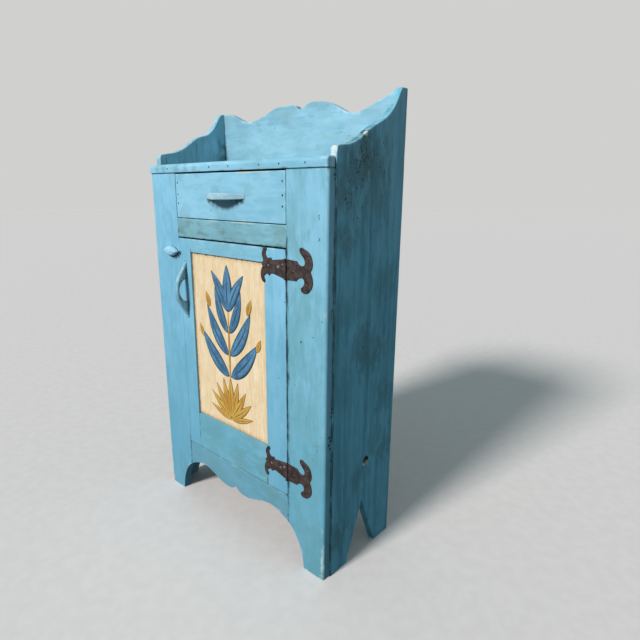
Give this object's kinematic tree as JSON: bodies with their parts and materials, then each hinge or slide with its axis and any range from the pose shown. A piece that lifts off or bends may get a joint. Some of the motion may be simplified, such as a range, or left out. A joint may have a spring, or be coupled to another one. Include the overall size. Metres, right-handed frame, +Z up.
{
  "type": "milk cupboard",
  "caption": "Painted wooden milk cupboard with scrolled gallery, drawer, panelled door on horned iron hinges, turn button and cut-out feet.",
  "frame": {"origin": "on the floor, midway between the sides and midway between the front of the door pull and the back", "axes": "+Z up, +Y towards the back, +X towards the hinged side of the door (right when facing the front)"},
  "size_m": [0.646, 0.3, 1.121],
  "materials": {
    "blue_paint": "matt blue milk paint, rubbed and grimy",
    "bare_wood": "unpainted, aged",
    "cream_panel": "aged cream paint with a shallow painted pattern",
    "hinge_iron": "hammered, brown with rust",
    "nail_iron": "dull"
  },
  "bodies": {
    "carcass": {"side_left_front": "blue_paint", "side_left_rear": "blue_paint", "side_right_front": "blue_paint", "side_right_rear": "blue_paint", "stile_left": "blue_paint", "stile_right": "blue_paint", "mid_rail": "blue_paint", "apron": "blue_paint", "top_strip": "blue_paint", "top_board": "blue_paint", "back_gallery": "blue_paint", "back_board_left": "bare_wood", "back_board_middle": "bare_wood", "back_board_right": "bare_wood", "bottom_board": "bare_wood", "shelf": "bare_wood", "shelf_cleat_left": "bare_wood", "shelf_cleat_right": "bare_wood", "drawer_bed": "bare_wood", "drawer_guide_left": "bare_wood", "drawer_guide_right": "bare_wood", "hinge_upper_frame_leaf": "hinge_iron", "hinge_upper_pin": "hinge_iron", "hinge_lower_frame_leaf": "hinge_iron", "hinge_lower_pin": "hinge_iron", "hinge_frame_screws": "nail_iron", "turn_button_screw": "nail_iron", "strip_nails": "nail_iron", "stile_nails": "nail_iron", "side_nails": "nail_iron", "back_nails": "nail_iron"},
    "drawer": {"drawer_front": "blue_paint", "drawer_side_left": "bare_wood", "drawer_side_right": "bare_wood", "drawer_back": "bare_wood", "drawer_bottom": "bare_wood", "drawer_pull": "blue_paint", "drawer_pull_screws": "nail_iron", "drawer_nails": "nail_iron"},
    "door": {"door_stile_left": "blue_paint", "door_stile_right": "blue_paint", "door_rail_top": "blue_paint", "door_rail_bottom": "blue_paint", "door_panel": "cream_panel", "door_pull": "blue_paint", "door_pull_screws": "nail_iron", "hinge_upper_door_leaf": "hinge_iron", "hinge_lower_door_leaf": "hinge_iron", "hinge_door_screws": "nail_iron"},
    "turn_button": {"turn_button": "blue_paint"}
  },
  "joints": [
    {"name": "drawer_slide", "type": "slide", "parent": "carcass", "child": "drawer", "axis": [0, -1, 0], "range_m": [0, 0.17]},
    {"name": "door_hinge", "type": "hinge", "parent": "carcass", "child": "door", "pos_m": [0.20375, -0.1176, 0.48], "axis": [0, 0, 1], "range_deg": [0, 170]},
    {"name": "button_turn", "type": "hinge", "parent": "carcass", "child": "turn_button", "pos_m": [-0.2325, -0.12, 0.74], "axis": [0, -1, 0], "range_deg": [0, 180]}
  ]
}
